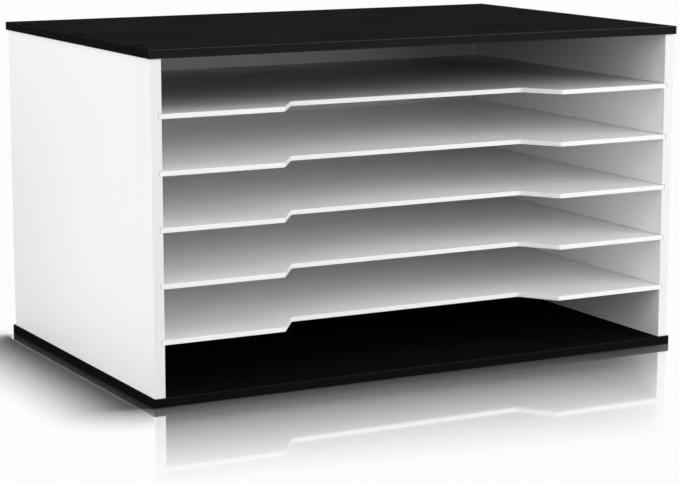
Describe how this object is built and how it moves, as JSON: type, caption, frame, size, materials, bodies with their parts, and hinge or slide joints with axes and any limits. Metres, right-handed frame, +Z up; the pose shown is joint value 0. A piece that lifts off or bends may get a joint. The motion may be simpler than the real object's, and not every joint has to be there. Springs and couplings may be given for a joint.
{
  "type": "paper organizer",
  "caption": "Low desk-top box with thin loose shelves in side grooves, open in front, for large sheets laid flat. Each shelf has a wide finger notch.",
  "frame": {"origin": "middle of the outline's lower face, which is the underside of the base", "axes": "+Z up, the open front faces -Y, +X to the right when seen from the front"},
  "size_m": [0.494, 0.318, 0.28],
  "materials": {
    "black_laminate": "black laminate on board, satin",
    "black_band": "black edge band, satin",
    "white_laminate": "white laminate on board, satin",
    "white_band": "white edge band, satin",
    "black_screw": "black phosphated steel",
    "nail_steel": "bright steel"
  },
  "bodies": {
    "case": {"base_panel": "black_laminate", "base_front_band": "black_band", "base_rear_band": "black_band", "base_left_band": "black_band", "base_right_band": "black_band", "top_panel": "black_laminate", "top_front_band": "black_band", "top_rear_band": "black_band", "top_left_band": "black_band", "top_right_band": "black_band", "left_side": "white_laminate", "left_side_front_band": "white_band", "right_side": "white_laminate", "right_side_front_band": "white_band", "back_panel": "white_laminate", "base_screws": "black_screw", "top_screws": "black_screw", "back_nails": "nail_steel"},
    "shelf_1": {"shelf_1": "white_laminate"},
    "shelf_2": {"shelf_2": "white_laminate"},
    "shelf_3": {"shelf_3": "white_laminate"},
    "shelf_4": {"shelf_4": "white_laminate"},
    "shelf_5": {"shelf_5": "white_laminate"}
  },
  "joints": [
    {"name": "shelf_1_slide", "type": "slide", "parent": "case", "child": "shelf_1", "axis": [0, -1, 0], "range_m": [0, 0.315]},
    {"name": "shelf_2_slide", "type": "slide", "parent": "case", "child": "shelf_2", "axis": [0, -1, 0], "range_m": [0, 0.315]},
    {"name": "shelf_3_slide", "type": "slide", "parent": "case", "child": "shelf_3", "axis": [0, -1, 0], "range_m": [0, 0.315]},
    {"name": "shelf_4_slide", "type": "slide", "parent": "case", "child": "shelf_4", "axis": [0, -1, 0], "range_m": [0, 0.315]},
    {"name": "shelf_5_slide", "type": "slide", "parent": "case", "child": "shelf_5", "axis": [0, -1, 0], "range_m": [0, 0.315]}
  ]
}
